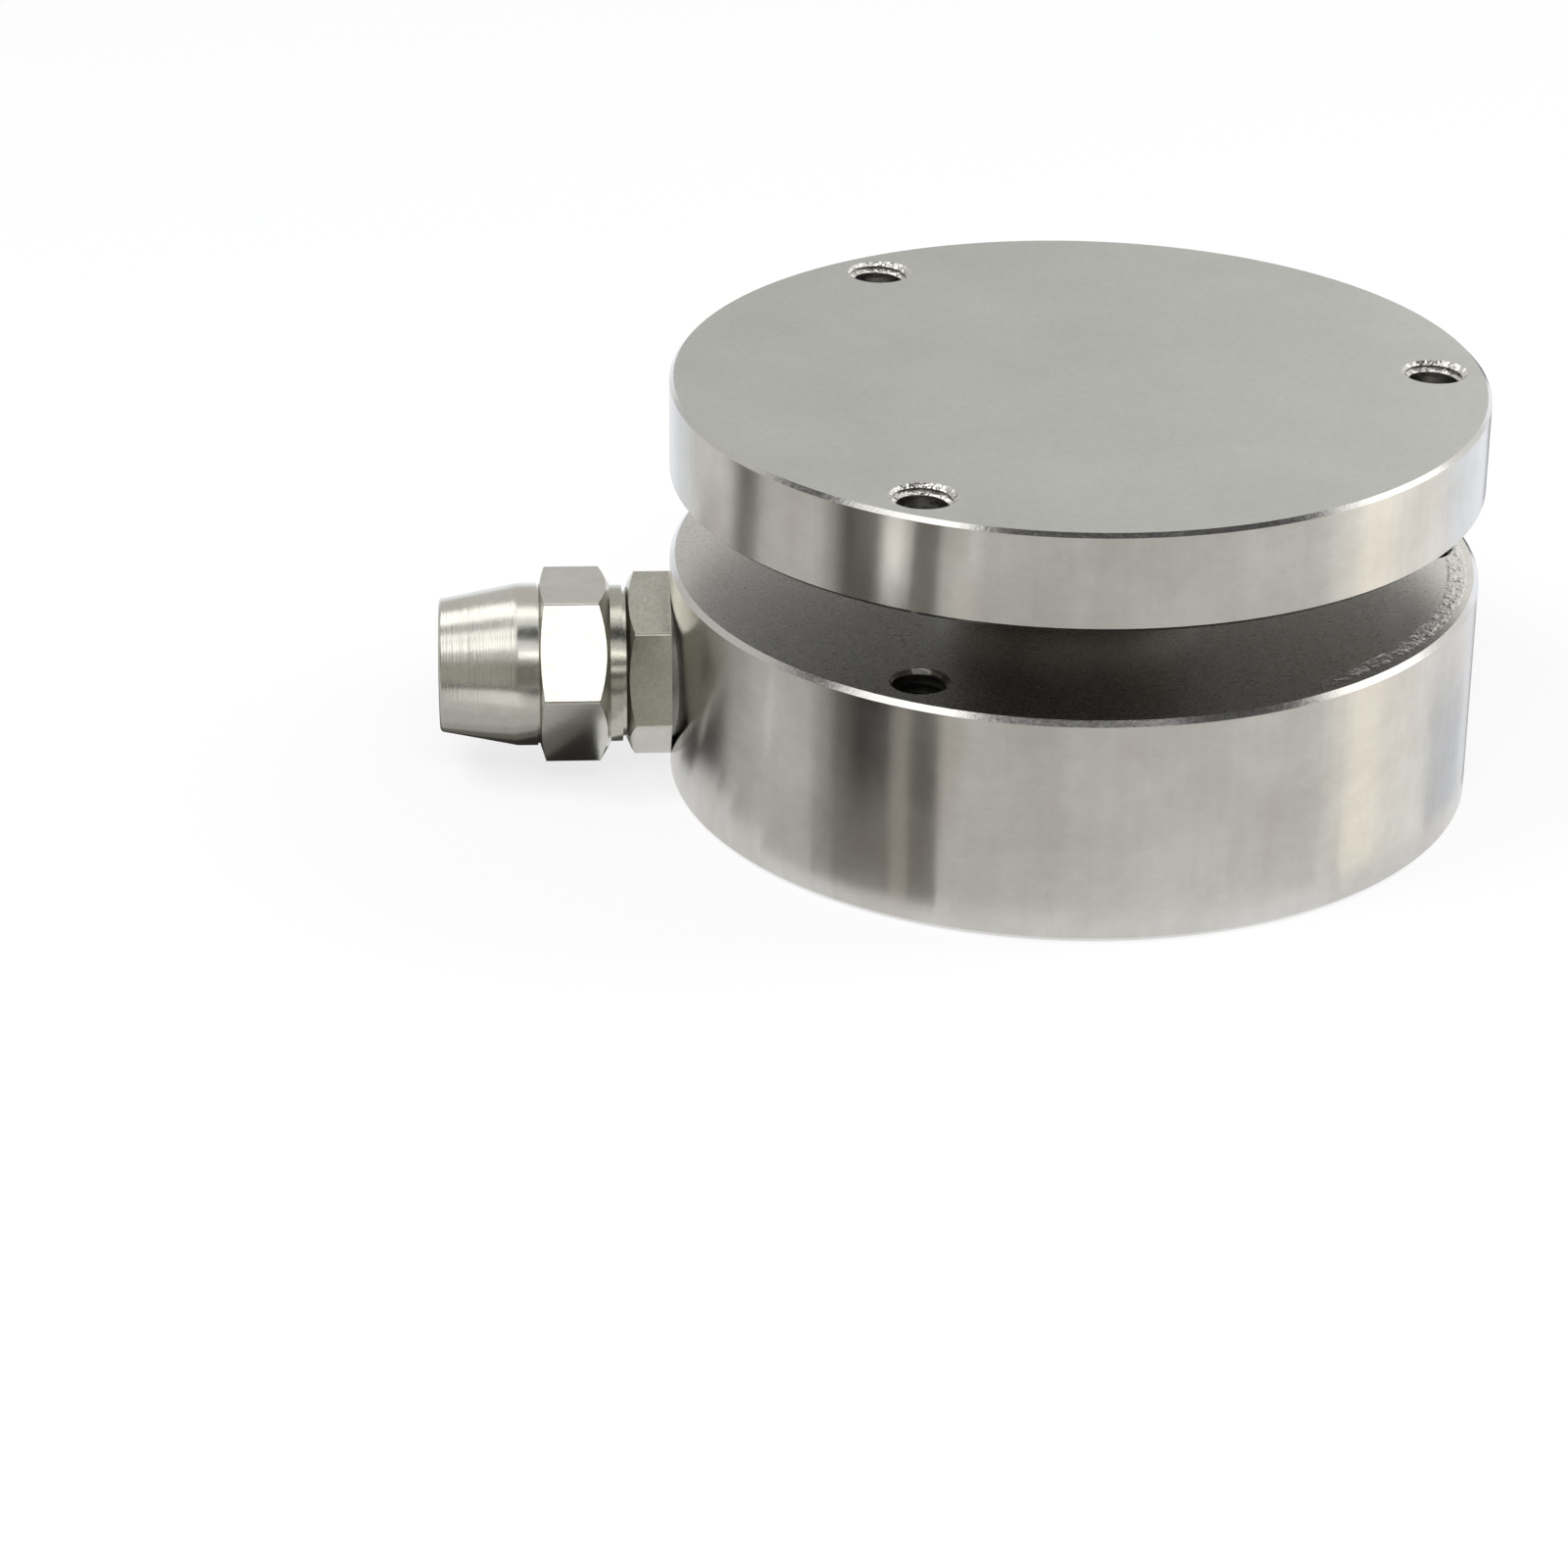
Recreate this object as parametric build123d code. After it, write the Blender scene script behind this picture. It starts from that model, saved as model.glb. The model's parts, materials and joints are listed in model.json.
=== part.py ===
from build123d import *
import math
import os

# Flange load cell: a turned steel billet with a load plate above and a hollow
# base below, joined by a neck. The force passes down the neck into a gauged
# diaphragm in the roof of the base. A cable gland enters the wall of the base.
# Millimetres, +Z up, origin on the axis in the plane of the base, gland along -X.

# Turned billet
flange_radius = 40.0
plate_thickness = 9.7
gap_height = 9.0
base_height = 22.8
neck_radius = 12.0
neck_fillet = 3.0
plate_edge_chamfer = 0.4
base_edge_chamfer = 0.5

# Tapped holes, in line in the load plate and in the wall of the base. Only the
# upper mouths in the plate have the deep countersink, the rest a small chamfer.
bolt_count = 3
bolt_edge_distance = 5.0
bolt_hole_radius = 2.5
bolt_countersink = 0.75
bolt_mouth_chamfer = 0.4

# Hollow base with its diaphragm and hub
diaphragm_thickness = 4.0
diaphragm_span = 15.0
cavity_fillet = 1.5
wall_beside_bolt = 1.5
shoulder_width = 6.0

# Cover, its gasket and its countersunk screws
cover_thickness = 2.5
cover_sink = 0.3
cover_clearance = 0.1
cover_edge_chamfer = 0.4
gasket_thickness = 0.5
cover_screw_count = 6
cover_screw_radius = 1.25
cover_screw_length = 7.0
cover_screw_head_radius = 2.35
cover_screw_key = 1.5
cover_screw_key_depth = 0.9

# Clearance left round a screw or a threaded spigot in its hole
thread_clearance = 0.08
thread_runout = 0.6

# Cable gland, sizes along its axis counted from the seat of the hexagon
gland_thread_radius = 6.0
gland_spigot_length = 8.0
gland_bore_radius = 3.4
gland_washer_thickness = 0.8
gland_washer_radius = 7.4
spot_face_margin = 0.1
wire_hole_radius = 3.0
body_across_flats = 16.2
body_hexagon_length = 4.45
body_hexagon_turn = 11.5
groove_length = 0.35
groove_depth = 0.5
collar_length = 1.2
collar_radius = 7.8
front_thread_radius = 6.3
front_thread_length = 6.2
hexagon_face_inset = 0.6
body_chamfer_length = 0.9
nut_across_flats = 17.0
nut_hexagon_length = 7.05
nut_hexagon_turn = 31.0
nut_rear_chamfer_length = 1.15
nut_front_chamfer_length = 0.6
nut_step_length = 0.2
nut_step_depth = 0.2
nut_ring_length = 2.0
nut_ring_radius = 8.1
nose_length = 7.7
nose_end_radius = 6.6
nose_root_fillet = 3.0
nose_edge_fillet = 0.4
nut_chamber_radius = 5.7

# Rubber bush and clamp ring inside the gland
bush_radius = 5.0
bush_bore_radius = 2.75
bush_length = 7.0
bush_taper_length = 1.6
bush_clearance = 0.1
clamp_ring_thickness = 1.0
clamp_ring_wall = 2.0

# Strain gauges, their solder tabs and their leads, under the diaphragm
gauge_count = 4
gauge_width = 5.0
gauge_thickness = 0.2
gauge_margin = 0.6
tab_length = 2.4
tab_width = 5.0
tab_thickness = 0.4
lead_radius = 0.25
lead_spacing = 2.4

# Bridge board, its screws and trim resistors, under the hub
board_thickness = 1.6
board_room = 3.2
board_edge_margin = 4.0
board_screw_count = 3
board_screw_radius = 1.0
board_screw_inset = 3.5
board_screw_grip = 4.0
board_screw_head_radius = 1.9
board_screw_head_height = 1.3
board_screw_head_chamfer = 0.4
board_screw_slot = 0.5
resistor_length = 3.2
resistor_width = 1.6
resistor_height = 0.6
resistor_inset = 3.0

# Levels up the axis
plate_bottom = base_height + gap_height
total_height = plate_bottom + plate_thickness
cavity_top = base_height - diaphragm_thickness
cover_top = cover_sink + cover_thickness
cavity_floor = cover_top + gasket_thickness
board_bottom = cover_top + board_room
hub_bottom = board_bottom + board_thickness

# Radii from the rim inwards
bolt_circle_radius = flange_radius - bolt_edge_distance
cover_seat_radius = bolt_circle_radius - bolt_hole_radius - wall_beside_bolt
cavity_radius = cover_seat_radius - shoulder_width
hub_radius = cavity_radius - diaphragm_span
cover_radius = cover_seat_radius - cover_clearance
cover_screw_circle_radius = cavity_radius + shoulder_width / 2
tab_inner_radius = hub_radius + cavity_fillet + gauge_margin
lead_circle_radius = tab_inner_radius + tab_length / 2
board_radius = lead_circle_radius + board_edge_margin

# Stations along the gland from the axis of the cell outwards
washer_seat = flange_radius - gland_washer_thickness
hexagon_seat = flange_radius
spigot_end = washer_seat - gland_spigot_length
groove_start = hexagon_seat + body_hexagon_length
collar_start = groove_start + groove_length
nut_seat = collar_start + collar_length
front_thread_end = nut_seat + front_thread_length
nut_step_start = nut_seat + nut_hexagon_length
nut_ring_start = nut_step_start + nut_step_length
nose_root = nut_ring_start + nut_ring_length
nose_end = nose_root + nose_length
clamp_ring_end = nose_root
clamp_ring_start = clamp_ring_end - clamp_ring_thickness
bush_start = clamp_ring_start - bush_length

gland_height = base_height / 2
gland_place = Plane(
    origin=(0, 0, gland_height), x_dir=(0, 0, 1), z_dir=(-1, 0, 0)
)
over = 1.0


def profile(*corners):
    """Closed outline in the XZ plane from (radius, height) corners."""
    return make_face(Polyline(*corners, close=True))


def at(sketch, radius, height):
    """The corner of an outline that lies at a radius and a height."""
    return sketch.vertices().sort_by_distance((radius, height, 0))[0]


def turned(outline):
    """Solid of revolution about Z."""
    return revolve(Plane.XZ * outline, Axis.Z)


def rod(radius, start, end):
    """Plain cylinder from one height to another."""
    return Pos(0, 0, start) * Cylinder(
        radius, end - start, align=(Align.CENTER, Align.CENTER, Align.MIN)
    )


def slab(length, width, start, end):
    """Plain block from one height to another."""
    return Pos(0, 0, start) * Box(
        length, width, end - start, align=(Align.CENTER, Align.CENTER, Align.MIN)
    )


def bolt_hole(start, end, end_countersink):
    """Cutter for a hole tapped right through, widened at both mouths."""
    return turned(
        profile(
            (0, start - over),
            (bolt_hole_radius + bolt_mouth_chamfer + over, start - over),
            (bolt_hole_radius, start + bolt_mouth_chamfer),
            (bolt_hole_radius, end - end_countersink),
            (bolt_hole_radius + end_countersink + over, end + over),
            (0, end + over),
        )
    )


def spaced(radius, count, start_angle=0.0):
    """Places evenly spaced on a circle, each turned to face outwards."""
    return list(PolarLocations(radius, count, start_angle))


def hexagon(across_flats, turn, start, end, start_chamfer, end_chamfer):
    """Hexagonal bar, turned about its axis, with its corners trimmed by cones."""
    corner_radius = across_flats / math.sqrt(3)
    face_radius = across_flats / 2 - hexagon_face_inset
    corners = [(0, end), (face_radius, end), (corner_radius, end - end_chamfer)]
    if start_chamfer > 0:
        corners.append((corner_radius, start + start_chamfer))
        corners.append((face_radius, start))
    else:
        corners.append((corner_radius, start))
    corners.append((0, start))
    envelope = turned(profile(*corners))
    outline = RegularPolygon(corner_radius, 6, rotation=turn)
    bar = Pos(0, 0, start) * extrude(outline, end - start)
    return bar & envelope


def sensing_body():
    """Load plate, neck, diaphragm, hub and wall, all turned from one billet."""
    outline = profile(
        (0, hub_bottom),
        (hub_radius, hub_bottom),
        (hub_radius, cavity_top),
        (cavity_radius, cavity_top),
        (cavity_radius, cavity_floor),
        (cover_seat_radius, cavity_floor),
        (cover_seat_radius, 0),
        (flange_radius, 0),
        (flange_radius, base_height),
        (neck_radius, base_height),
        (neck_radius, plate_bottom),
        (flange_radius, plate_bottom),
        (flange_radius, total_height),
        (0, total_height),
    )
    for radius in (hub_radius, cavity_radius):
        outline = fillet(at(outline, radius, cavity_top), cavity_fillet)
    for height in (base_height, plate_bottom):
        outline = fillet(at(outline, neck_radius, height), neck_fillet)
    for height in (0, base_height):
        outline = chamfer(at(outline, flange_radius, height), base_edge_chamfer)
    for height in (plate_bottom, total_height):
        outline = chamfer(at(outline, flange_radius, height), plate_edge_chamfer)
    body = turned(outline)

    for place in spaced(bolt_circle_radius, bolt_count):
        body -= place * bolt_hole(plate_bottom, total_height, bolt_countersink)
        body -= place * bolt_hole(0, base_height, bolt_mouth_chamfer)
    for place in cover_screw_places():
        body -= place * rod(
            cover_screw_radius + thread_clearance,
            cavity_floor - over,
            cover_sink + cover_screw_length + thread_runout,
        )
    for place in board_screw_places():
        body -= place * rod(
            board_screw_radius + thread_clearance,
            hub_bottom - over,
            hub_bottom + board_screw_grip + thread_runout,
        )
    body -= gland_place * gland_entry()
    return body


def gland_entry():
    """Cutter for the spot face, the tapped hole and the wire hole."""
    spot_face = rod(
        gland_washer_radius + spot_face_margin, washer_seat, flange_radius + over
    )
    tapped = rod(
        gland_thread_radius + thread_clearance, spigot_end - thread_runout, flange_radius
    )
    wire_hole = rod(wire_hole_radius, cavity_radius - wire_hole_radius, flange_radius)
    return spot_face + tapped + wire_hole


def cover_screw_places():
    """Cover screws sit between the bolts, half a pitch from the first."""
    return spaced(cover_screw_circle_radius, cover_screw_count, 180 / cover_screw_count)


def board_screw_places():
    """Board screws round the hub."""
    return spaced(hub_radius - board_screw_inset, board_screw_count)


def cover_countersink(radius, head_radius):
    """Cone of a countersunk head, flush with the underside of the cover."""
    return profile(
        (0, cover_sink),
        (head_radius, cover_sink),
        (radius, cover_sink + head_radius - radius),
        (radius, cover_sink + cover_screw_length),
        (0, cover_sink + cover_screw_length),
    )


def bottom_cover():
    """Disc that closes the base, a little inside the contact face."""
    cover = rod(cover_radius, cover_sink, cover_top)
    rim = cover.edges().filter_by(GeomType.CIRCLE).sort_by(Axis.Z)[0]
    cover = chamfer(rim, cover_edge_chamfer)
    cutter = turned(
        cover_countersink(
            cover_screw_radius + thread_clearance,
            cover_screw_head_radius + thread_clearance,
        )
    )
    for place in cover_screw_places():
        cover -= place * cutter
    return cover


def cover_gasket():
    """Flat ring between the cover and the shoulder of the base."""
    ring = rod(cover_radius, cover_top, cavity_floor)
    ring -= rod(cavity_radius, cover_top - over, cavity_floor + over)
    for place in cover_screw_places():
        ring -= place * rod(
            cover_screw_radius + thread_clearance, cover_top - over, cavity_floor + over
        )
    return ring


def cover_screw():
    """Countersunk screw with a hexagon socket, head down."""
    screw = turned(cover_countersink(cover_screw_radius, cover_screw_head_radius))
    key = RegularPolygon(cover_screw_key / 2, 6, major_radius=False)
    screw -= Pos(0, 0, cover_sink) * extrude(key, cover_screw_key_depth)
    return screw


def gland_washer():
    """Sealing washer between the spot face and the hexagon."""
    washer = rod(gland_washer_radius, washer_seat, hexagon_seat)
    washer -= rod(
        gland_thread_radius + thread_clearance, washer_seat - over, hexagon_seat + over
    )
    return gland_place * washer


def gland_body():
    """Threaded spigot, hexagon, grooved collar and front thread, bored through."""
    core = turned(
        profile(
            (gland_bore_radius, spigot_end),
            (gland_thread_radius - thread_runout, spigot_end),
            (gland_thread_radius, spigot_end + thread_runout),
            (gland_thread_radius, hexagon_seat),
            (collar_radius - groove_depth, hexagon_seat),
            (collar_radius - groove_depth, collar_start),
            (collar_radius, collar_start),
            (collar_radius, nut_seat),
            (front_thread_radius, nut_seat),
            (front_thread_radius, front_thread_end - thread_runout),
            (front_thread_radius - thread_runout, front_thread_end),
            (bush_radius + bush_clearance, front_thread_end),
            (bush_radius + bush_clearance, bush_start + bush_taper_length),
            (gland_bore_radius, bush_start),
        )
    )
    bar = hexagon(
        body_across_flats,
        body_hexagon_turn,
        hexagon_seat,
        groove_start,
        0,
        body_chamfer_length,
    )
    bar -= rod(gland_thread_radius, hexagon_seat - over, groove_start + over)
    return gland_place * (core + bar)


def gland_bush():
    """Rubber bush with a tapered rear end, bored for the cable."""
    outline = profile(
        (bush_bore_radius, bush_start),
        (gland_bore_radius, bush_start),
        (bush_radius, bush_start + bush_taper_length),
        (bush_radius, clamp_ring_start),
        (bush_bore_radius, clamp_ring_start),
    )
    return gland_place * turned(outline)


def gland_clamp_ring():
    """Slip ring that keeps the turning nut off the rubber."""
    outer = nut_chamber_radius - bush_clearance
    ring = rod(outer, clamp_ring_start, clamp_ring_end)
    ring -= rod(outer - clamp_ring_wall, clamp_ring_start - over, clamp_ring_end + over)
    return gland_place * ring


def gland_nut():
    """Hexagon nut with a turned ring and a long conical nose."""
    outline = profile(
        (0, nut_seat),
        (nut_ring_radius - nut_step_depth, nut_seat),
        (nut_ring_radius - nut_step_depth, nut_ring_start),
        (nut_ring_radius, nut_ring_start),
        (nut_ring_radius, nose_root),
        (nose_end_radius, nose_end),
        (0, nose_end),
    )
    outline = fillet(at(outline, nut_ring_radius, nose_root), nose_root_fillet)
    outline = fillet(at(outline, nose_end_radius, nose_end), nose_edge_fillet)
    nut = turned(outline)
    nut += hexagon(
        nut_across_flats,
        nut_hexagon_turn,
        nut_seat,
        nut_step_start,
        nut_rear_chamfer_length,
        nut_front_chamfer_length,
    )
    nut -= rod(
        front_thread_radius + thread_clearance,
        nut_seat - over,
        front_thread_end + thread_runout,
    )
    nut -= rod(nut_chamber_radius, nut_seat, clamp_ring_end)
    nut -= rod(gland_bore_radius, nut_seat, nose_end + over)
    mouth = nut.edges().filter_by(GeomType.CIRCLE).sort_by(Axis.Z)[-2:]
    inner_edge = mouth.sort_by(SortBy.RADIUS)[0]
    nut = chamfer(inner_edge, nose_edge_fillet)
    return gland_place * nut


def gauge_places():
    """Directions of the gauges, between the bolts as far as they can be."""
    return spaced(0, gauge_count, 180 / gauge_count)


def strain_gauge():
    """Foil patch on the strained span of the diaphragm."""
    inner = tab_inner_radius + tab_length + gauge_margin
    outer = cavity_radius - cavity_fillet - gauge_margin
    patch = slab(outer - inner, gauge_width, cavity_top - gauge_thickness, cavity_top)
    return Pos((inner + outer) / 2, 0, 0) * patch


def terminal_tab():
    """Solder tab between a gauge and the hub."""
    tab = slab(tab_length, tab_width, cavity_top - tab_thickness, cavity_top)
    return Pos(lead_circle_radius, 0, 0) * tab


def gauge_leads():
    """Pair of stiff wires from a solder tab down to the board."""
    top = cavity_top - tab_thickness
    pair = []
    for side in (-1, 1):
        wire = rod(lead_radius, hub_bottom, top)
        pair.append(Pos(lead_circle_radius, side * lead_spacing / 2, 0) * wire)
    return pair


def bridge_board():
    """Round board screwed under the hub."""
    board = rod(board_radius, board_bottom, hub_bottom)
    for place in board_screw_places():
        board -= place * rod(
            board_screw_radius + thread_clearance, board_bottom - over, hub_bottom + over
        )
    return board


def board_screw():
    """Slotted pan head screw that holds the board to the hub."""
    head_bottom = board_bottom - board_screw_head_height
    screw = rod(board_screw_head_radius, head_bottom, board_bottom)
    rim = screw.edges().filter_by(GeomType.CIRCLE).sort_by(Axis.Z)[0]
    screw = chamfer(rim, board_screw_head_chamfer)
    screw += rod(board_screw_radius, board_bottom, hub_bottom + board_screw_grip)
    slot = slab(
        2 * board_screw_head_radius + over,
        board_screw_slot,
        head_bottom - over,
        head_bottom + board_screw_slot,
    )
    return screw - slot


def trim_resistor():
    """Chip that trims the bridge, under the board."""
    chip = slab(
        resistor_width, resistor_length, board_bottom - resistor_height, board_bottom
    )
    return Pos(board_radius - resistor_inset, 0, 0) * chip


def write(name, solid):
    """Write one sub-part under the name of its node."""
    shape = Compound(children=solid) if isinstance(solid, list) else solid
    export_step(shape, os.path.join("parts", name + ".step"))


def write_set(name, solids):
    """Write like sub-parts as numbered nodes."""
    for number, solid in enumerate(solids, start=1):
        write(f"{name}_{number}", solid)


os.makedirs("parts", exist_ok=True)
write("sensing_body", sensing_body())
write("bottom_cover", bottom_cover())
write("cover_gasket", cover_gasket())
write_set("cover_screw", [place * cover_screw() for place in cover_screw_places()])
write("gland_washer", gland_washer())
write("gland_body", gland_body())
write("gland_bush", gland_bush())
write("gland_clamp_ring", gland_clamp_ring())
write("gland_nut", gland_nut())
write_set("strain_gauge", [place * strain_gauge() for place in gauge_places()])
write_set("terminal_tab", [place * terminal_tab() for place in gauge_places()])
write_set(
    "gauge_leads",
    [[place * wire for wire in gauge_leads()] for place in gauge_places()],
)
write("bridge_board", bridge_board())
write_set("board_screw", [place * board_screw() for place in board_screw_places()])
write_set(
    "trim_resistor",
    [place * trim_resistor() for place in spaced(0, gauge_count)],
)
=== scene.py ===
import json
import math

import bmesh
import bpy
from mathutils import Euler, Matrix, Vector


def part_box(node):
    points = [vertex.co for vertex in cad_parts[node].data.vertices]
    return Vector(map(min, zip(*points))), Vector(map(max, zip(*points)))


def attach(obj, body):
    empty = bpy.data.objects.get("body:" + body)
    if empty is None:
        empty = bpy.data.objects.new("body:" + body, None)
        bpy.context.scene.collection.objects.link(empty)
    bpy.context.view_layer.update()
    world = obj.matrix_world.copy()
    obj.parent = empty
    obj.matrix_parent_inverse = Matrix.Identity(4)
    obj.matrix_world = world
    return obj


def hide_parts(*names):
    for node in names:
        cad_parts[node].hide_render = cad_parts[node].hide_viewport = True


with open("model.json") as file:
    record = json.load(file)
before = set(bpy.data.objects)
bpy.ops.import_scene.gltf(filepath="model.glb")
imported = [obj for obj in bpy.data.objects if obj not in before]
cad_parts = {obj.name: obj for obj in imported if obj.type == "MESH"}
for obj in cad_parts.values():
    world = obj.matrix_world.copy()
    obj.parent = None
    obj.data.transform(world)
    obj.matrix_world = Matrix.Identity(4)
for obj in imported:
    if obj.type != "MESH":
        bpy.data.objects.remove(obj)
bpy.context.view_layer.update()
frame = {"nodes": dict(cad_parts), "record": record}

# Flange load cell of turned stainless steel with a nickel plated cable gland.
# Metres, +Z up, origin on the axis in the plane of the base, gland along -X.

MM = 0.001

# Sizes read from the frame
body_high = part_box("sensing_body")[1]
mounts = {mount["name"]: mount for mount in frame["record"]["mounts"]}
flange_radius = body_high.x
total_height = body_high.z
bolt_holes = mounts["load_holes"]["dims"]
bolt_circle_radius = bolt_holes["pcd_mm"] / 2 * MM
bolt_hole_radius = bolt_holes["hole_r_mm"] * MM
bolt_count = bolt_holes["count"]

# Sizes that the frame doesn't give, as in the part's source
base_height = 22.8 * MM
neck_reach = 20 * MM         # past the fillets of the neck
nose_start = 55.3 * MM       # where the nut's nose begins, from the axis
rim_chamfer = 0.6 * MM
worn_width = 0.30 * MM       # across a worn edge of a hexagon
size_slack = 0.1 * MM

# Tool marks by the rim of the gap: radii from and to, and x from and to
marks_radii = (36.9 * MM, 38.5 * MM)
marks_fade = 0.3 * MM
marks_side = (19 * MM, 24 * MM)
marks_depth = 0.13 * MM

# Camera fitted to the photograph
camera_place = Vector((-0.05158, -0.43254, 0.20709))
camera_heading = math.radians(3.056)
camera_dip = math.radians(25.80)
camera_roll = math.radians(0.512)
camera_lens = 109.08
sensor_width = 36.0

# Studio: angle 0 is the camera's side of the cell, and angles grow to the right
camera_side = math.radians(-96.8)
dome_radius = 0.35
screen_distance = 0.40
screen_lift = 0.2 * MM       # keeps the screens clear of the floor
dome_steps = 8
screen_steps = 6
near_reach = 0.068           # the base mirrors the floor up to here, the plate beyond
floor_size = 6.0
floor_drop = 0.05 * MM       # keeps the floor clear of the underside
floor_colour = (0.95, 0.95, 0.95)
floor_white_share = 0.76     # share of plain white in what is seen of the floor
neutral = (1.0, 0.985, 0.955)
warm = (1.0, 0.95, 0.86)
cool = (0.97, 1.0, 1.06)
olive = (1.0, 0.985, 0.86)

# Lamps: name, angle, elevation, width, height, power
lamp_distance = 0.9
lamps = (
    ("front_softbox", 5, 45, 0.5, 0.25, 2.5),
    ("left_softbox", -60, 57, 0.4, 0.4, 3.0),
    ("right_softbox", 105, 40, 0.35, 0.35, 3.0),
)

# Boards on the dome: angles from and to, elevations from and to, tone, tint
dome_boards = (
    (-37, 80, 57, 78, 0.05, neutral),
    (38, 84, 44, 57, 0.06, neutral),
    (-97, -77, 41, 54, 0.06, neutral),
    (-48, -28, 38, 52, 2.2, neutral),
    (-58, -37, 52, 64, 1.9, neutral),
    (-66, -58, 52, 58, 1.8, neutral),
    (-72, -58, 46, 52, 1.8, neutral),
    (-95, -62, 58.5, 66, 0.45, neutral),
    (-8, 2, 35, 42, 4.0, neutral),
    (-37, -28, 52, 57, 1.3, neutral),
    (89, 118, 28, 44, 1.9, neutral),
    (118, 135, 4, 31, 0.88, neutral),
    (-138, -97, 2, 46, 0.62, neutral),
    (-97, -84, 2, 40, 0.62, neutral),
    (-140, -98, 47, 64, 2.2, neutral),
    (-158, -95, 68, 84, 1.9, neutral),
    (135, 148, 14, 66, 0.76, neutral),
    (148, 168, 14, 44, 1.25, neutral),
    (148, 168, 44, 66, 0.76, neutral),
    (168, 180, 14, 66, 0.76, neutral),
    (180, 222, 14, 66, 0.68, neutral),
)

# Floor that the base mirrors: wall angles from and to, start, end, tone, tint
near_screens = (
    (-88, -80, 0.012, 0.04, 0.30, cool),
    (-80, -75, 0.013, 0.035, 0.05, neutral),
    (-75, -70, 0.017, 0.030, 0.10, neutral),
    (-70, -65, 0.010, 0.034, 0.10, neutral),
    (-65, -57, 0.014, 0.072, 0.03, warm),
    (-57, -55, 0.012, 0.068, 0.16, warm),
    (-55, -53, 0.012, 0.068, 0.46, neutral),
    (-53, -49, 0.008, 0.068, 0.58, neutral),
    (-49, -46, 0.008, 0.068, 0.64, neutral),
    (-46, -36.5, 0.004, 0.068, 0.66, neutral),
    (-36.5, -33.0, 0.004, 0.068, 0.42, neutral),
    (-33.0, -23.8, 0.004, 0.024, 0.28, warm),
    (-33.0, -30.0, 0.024, 0.068, 0.16, warm),
    (-30.0, -23.8, 0.024, 0.070, 0.00, warm),
    (-23.8, -21.2, 0.004, 0.068, 0.46, warm),
    (-21.2, -17, 0.004, 0.024, 0.26, warm),
    (-21.2, -17, 0.024, 0.068, 0.10, warm),
    (-17, 0, 0.005, 0.068, 0.72, neutral),
    (0, 24, 0.005, 0.068, 0.80, neutral),
    (24, 37, 0.005, 0.068, 0.82, neutral),
    (37, 41, 0.005, 0.068, 0.96, neutral),
    (41, 48, 0.006, 0.068, 1.30, warm),
    (48, 60, 0.006, 0.068, 1.14, neutral),
    (60, 74, 0.006, 0.036, 0.80, cool),
    (74, 79, 0.010, 0.068, 1.04, cool),
    (79, 88, 0.004, 0.05, 0.30, cool),
)

# Screens that the plate mirrors: wall angles from and to, height, tone, tint
far_screens = (
    (-88, -80, 0.06, 1.06, cool),
    (-80, -74, 0.06, 1.08, cool),
    (-74, -66, 0.08, 0.96, cool),
    (-66, -60, 0.15, 0.84, neutral),
    (-60, -53, 0.30, 0.96, neutral),
    (-53, -51.6, 0.40, 0.50, neutral),
    (-51.6, -47, 0.40, 0.15, warm),
    (-47, -34.6, 0.40, 0.72, neutral),
    (-34.6, -32.6, 0.40, 0.46, warm),
    (-32.6, -31.6, 0.40, 0.16, warm),
    (-31.6, -26.0, 0.42, 0.00, warm),
    (-26.0, -22.6, 0.40, 0.90, neutral),
    (-22.6, -18.3, 0.40, 0.03, warm),
    (-18.3, -12, 0.40, 0.86, neutral),
    (-12, -6, 0.40, 0.66, neutral),
    (-6, 6, 0.40, 0.62, neutral),
    (6, 22, 0.40, 0.68, neutral),
    (22, 36, 0.40, 0.79, neutral),
    (36, 41, 0.40, 1.06, neutral),
    (41, 48, 0.40, 1.44, warm),
    (48, 60, 0.15, 1.22, neutral),
    (60, 72, 0.15, 1.13, cool),
    (72, 79, 0.06, 1.12, cool),
    (79, 89, 0.05, 0.06, cool),
)

# Cards that the plate mirrors: wall angles from and to, z from and to, tone, tint
plate_card_reach = 0.030
plate_cards = (
    (-26.2, -21.2, 0.0130, 0.0232, 0.02, warm),
    (-26.2, -25.2, 0.0232, 0.0285, 1.50, neutral),
    (-25.2, -22.8, 0.0232, 0.0285, 3.20, neutral),
    (-22.8, -21.2, 0.0232, 0.0285, 2.20, neutral),
    (-21.4, -17.7, 0.0180, 0.0272, 0.22, warm),
    (-17.7, -13.0, 0.0180, 0.0272, 1.02, neutral),
)

# Cards in front of the gland: x from and to, z from and to, tone
gland_card_distance = 0.07
gland_cards = (
    (-0.120, -0.070, 0.006, 0.052, 0.42),
    (-0.070, -0.047, 0.004, 0.046, 0.20),
    (-0.047, -0.036, 0.000, 0.032, 0.54),
    (-0.047, -0.036, 0.032, 0.046, 0.05),
)
nose_card = (-0.066, -0.055, 0.0005, 0.0085, 0.98)
nose_card_distance = 0.020

# Slots of the billet's finishes, in the order of billet_finishes
WALL, LAPPED, GAP_FLOOR, BRIGHT, SHADED_GAP_ROOF, COUNTERSINK, SHADED_BORE = range(7)

# Threads of the bolt holes
thread_pitch = 1.0 * MM
thread_depth = 0.54 * MM
thread_overlap = 0.12 * MM
thread_mouth = 0.94          # share of the pitch that a groove takes at its mouth
thread_crest = 0.14          # and at its ground
thread_steps = 40
thread_smoothing = math.radians(28)

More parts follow.
